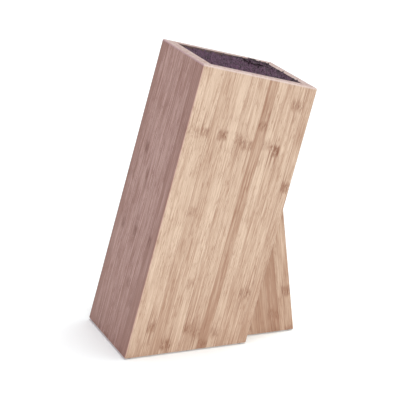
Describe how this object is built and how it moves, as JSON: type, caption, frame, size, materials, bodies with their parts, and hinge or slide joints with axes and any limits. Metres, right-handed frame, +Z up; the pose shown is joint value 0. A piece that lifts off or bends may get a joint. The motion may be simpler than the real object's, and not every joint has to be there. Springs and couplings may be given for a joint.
{
  "type": "universal knife block",
  "caption": "Leaning bamboo knife block with a square open well on a wedge foot, filled with upright bristles that hold blades of any shape in a lift-out insert.",
  "frame": {"origin": "on the table, in the middle of the block's footprint box", "axes": "+Z up; +X the way the case leans, towards the person who draws a knife; -Y to that person's left"},
  "size_m": [0.1663, 0.1, 0.2408],
  "materials": {
    "bamboo": "satin, clear-oiled flat-pressed bamboo",
    "dowel": "plain beech, glued in",
    "pad": "matt, soft",
    "tray": "moulded, fine texture",
    "bristle": "fine drawn filaments, soft sheen"
  },
  "bodies": {
    "block": {"back_board": "bamboo", "front_board": "bamboo", "left_board": "bamboo", "right_board": "bamboo", "floor_board": "bamboo", "foot_left_cheek": "bamboo", "foot_right_cheek": "bamboo", "foot_front_board": "bamboo", "left_back_dowel_1": "dowel", "left_back_dowel_2": "dowel", "left_back_dowel_3": "dowel", "right_back_dowel_1": "dowel", "right_back_dowel_2": "dowel", "right_back_dowel_3": "dowel", "left_front_dowel_1": "dowel", "left_front_dowel_2": "dowel", "left_front_dowel_3": "dowel", "right_front_dowel_1": "dowel", "right_front_dowel_2": "dowel", "right_front_dowel_3": "dowel", "foot_left_dowel_1": "dowel", "foot_left_dowel_2": "dowel", "foot_right_dowel_1": "dowel", "foot_right_dowel_2": "dowel", "back_left_pad": "pad", "back_right_pad": "pad", "front_left_pad": "pad", "front_right_pad": "pad", "foot_left_pad": "pad", "foot_right_pad": "pad"},
    "insert": {"insert_tray": "tray", "bristle_root": "bristle", "bristle_row_1": "bristle", "bristle_row_2": "bristle", "bristle_row_3": "bristle", "bristle_row_4": "bristle", "bristle_row_5": "bristle", "bristle_row_6": "bristle", "bristle_row_7": "bristle", "bristle_row_8": "bristle"}
  },
  "joints": [
    {"name": "insert_lift", "type": "slide", "parent": "block", "child": "insert", "axis": [0.2756, 0, 0.9613], "range_m": [0, 0.24]}
  ]
}
